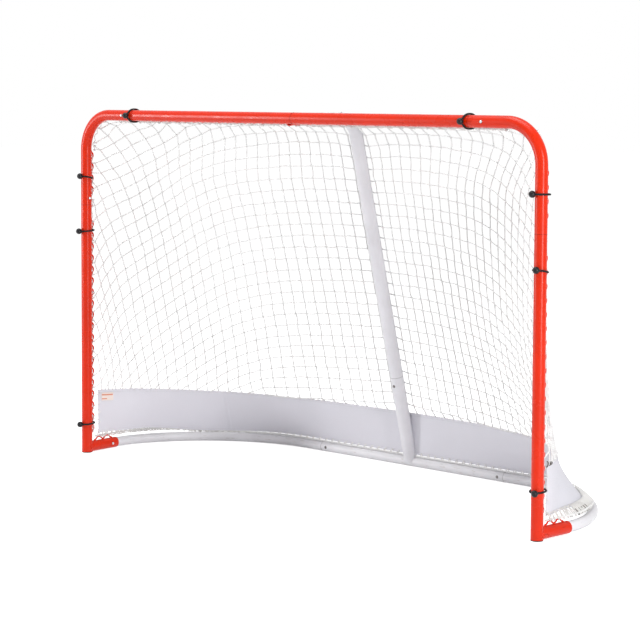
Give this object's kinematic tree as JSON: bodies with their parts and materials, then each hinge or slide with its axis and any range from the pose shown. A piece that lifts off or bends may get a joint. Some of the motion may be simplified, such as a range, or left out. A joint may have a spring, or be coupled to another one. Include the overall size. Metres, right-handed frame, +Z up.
{
  "type": "hockey goal net",
  "caption": "Hockey goal with a bent steel tube frame, sloping centre bar, curved base rail, laced net, fabric skirt, elastic ball loops and snap-button joints.",
  "frame": {"origin": "middle of the goal's footprint on the floor, midway between the posts, and between the foremost ball and the rearmost point of the centre bar's foot", "axes": "+X along the crossbar, towards the right post as seen from the mouth, +Y from the mouth back into the net, +Z up"},
  "size_m": [1.9149, 0.6313, 1.154],
  "materials": {
    "red_paint": "gloss red powder coat",
    "white_paint": "satin white powder coat",
    "sleeve_steel": "zinc plated",
    "button_steel": "bright plated",
    "spring_steel": "plain spring steel",
    "cap_plastic": "matte black",
    "net_cord": "twisted white cord",
    "rope_cord": "braided white rope",
    "skirt_fabric": "plain woven, light grey white",
    "tag_fabric": "bare woven label",
    "elastic_cord": "matte black",
    "ball_plastic": "black"
  },
  "bodies": {
    "frame": {"base_centre_tube": "white_paint", "base_side_tube_left": "white_paint", "base_side_tube_right": "white_paint", "base_sleeve_left": "sleeve_steel", "base_sleeve_right": "sleeve_steel", "base_stub_left": "red_paint", "base_stub_right": "red_paint", "centre_bar_lower": "white_paint", "centre_bar_sleeve": "sleeve_steel", "centre_bar_upper": "white_paint", "corner_tube_left": "red_paint", "corner_tube_right": "red_paint", "crossbar_sleeve_centre": "sleeve_steel", "crossbar_sleeve_left": "sleeve_steel", "crossbar_sleeve_right": "sleeve_steel", "crossbar_tube_left": "red_paint", "crossbar_tube_right": "red_paint", "elastic_balls": "ball_plastic", "elastic_loops": "elastic_cord", "head_rope": "rope_cord", "lacing_rod_corner_left": "red_paint", "lacing_rod_corner_right": "red_paint", "lacing_rod_crossbar_left": "red_paint", "lacing_rod_crossbar_right": "red_paint", "lacing_rod_post_left": "red_paint", "lacing_rod_post_right": "red_paint", "lacing_rod_stub_left": "red_paint", "lacing_rod_stub_right": "red_paint", "lower_post_left": "red_paint", "lower_post_right": "red_paint", "net_left": "net_cord", "net_right": "net_cord", "net_top": "net_cord", "post_caps": "cap_plastic", "post_sleeve_left": "sleeve_steel", "post_sleeve_right": "sleeve_steel", "rail_rope": "rope_cord", "sewn_tag": "tag_fabric", "skirt": "skirt_fabric", "snap_spring_base_left": "spring_steel", "snap_spring_base_right": "spring_steel", "snap_spring_centre_bar": "spring_steel", "snap_spring_crossbar_left": "spring_steel", "snap_spring_crossbar_right": "spring_steel", "snap_spring_post_left": "spring_steel", "snap_spring_post_right": "spring_steel", "snap_spring_stub_left": "spring_steel", "snap_spring_stub_right": "spring_steel", "tee_stub": "red_paint"},
    "button_crossbar_left": {"snap_button_crossbar_left": "button_steel"},
    "button_post_left": {"snap_button_post_left": "button_steel"},
    "button_stub_left": {"snap_button_stub_left": "button_steel"},
    "button_base_left": {"snap_button_base_left": "button_steel"},
    "button_crossbar_right": {"snap_button_crossbar_right": "button_steel"},
    "button_post_right": {"snap_button_post_right": "button_steel"},
    "button_stub_right": {"snap_button_stub_right": "button_steel"},
    "button_base_right": {"snap_button_base_right": "button_steel"},
    "button_centre_bar": {"snap_button_centre_bar": "button_steel"}
  },
  "joints": [
    {"name": "press_crossbar_left", "type": "slide", "parent": "frame", "child": "button_crossbar_left", "axis": [0, 1, 0], "range_m": [0, 0.0048], "stiffness_N_per_m": 2000, "deforming": ["snap_spring_crossbar_left"]},
    {"name": "press_post_left", "type": "slide", "parent": "frame", "child": "button_post_left", "axis": [-1, 0, 0], "range_m": [0, 0.0048], "stiffness_N_per_m": 2000, "deforming": ["snap_spring_post_left"]},
    {"name": "press_stub_left", "type": "slide", "parent": "frame", "child": "button_stub_left", "axis": [-0.9986, -0.0523, 0.0002], "range_m": [0, 0.0048], "stiffness_N_per_m": 2000, "deforming": ["snap_spring_stub_left"]},
    {"name": "press_base_left", "type": "slide", "parent": "frame", "child": "button_base_left", "axis": [0, 1, -0.0038], "range_m": [0, 0.0048], "stiffness_N_per_m": 2000, "deforming": ["snap_spring_base_left"]},
    {"name": "press_crossbar_right", "type": "slide", "parent": "frame", "child": "button_crossbar_right", "axis": [0, 1, 0], "range_m": [0, 0.0048], "stiffness_N_per_m": 2000, "deforming": ["snap_spring_crossbar_right"]},
    {"name": "press_post_right", "type": "slide", "parent": "frame", "child": "button_post_right", "axis": [1, 0, 0], "range_m": [0, 0.0048], "stiffness_N_per_m": 2000, "deforming": ["snap_spring_post_right"]},
    {"name": "press_stub_right", "type": "slide", "parent": "frame", "child": "button_stub_right", "axis": [0.9986, -0.0523, 0.0002], "range_m": [0, 0.0048], "stiffness_N_per_m": 2000, "deforming": ["snap_spring_stub_right"]},
    {"name": "press_base_right", "type": "slide", "parent": "frame", "child": "button_base_right", "axis": [0, 1, -0.0038], "range_m": [0, 0.0048], "stiffness_N_per_m": 2000, "deforming": ["snap_spring_base_right"]},
    {"name": "press_centre_bar", "type": "slide", "parent": "frame", "child": "button_centre_bar", "axis": [0, 0.9676, 0.2525], "range_m": [0, 0.0048], "stiffness_N_per_m": 2000, "deforming": ["snap_spring_centre_bar"]}
  ]
}
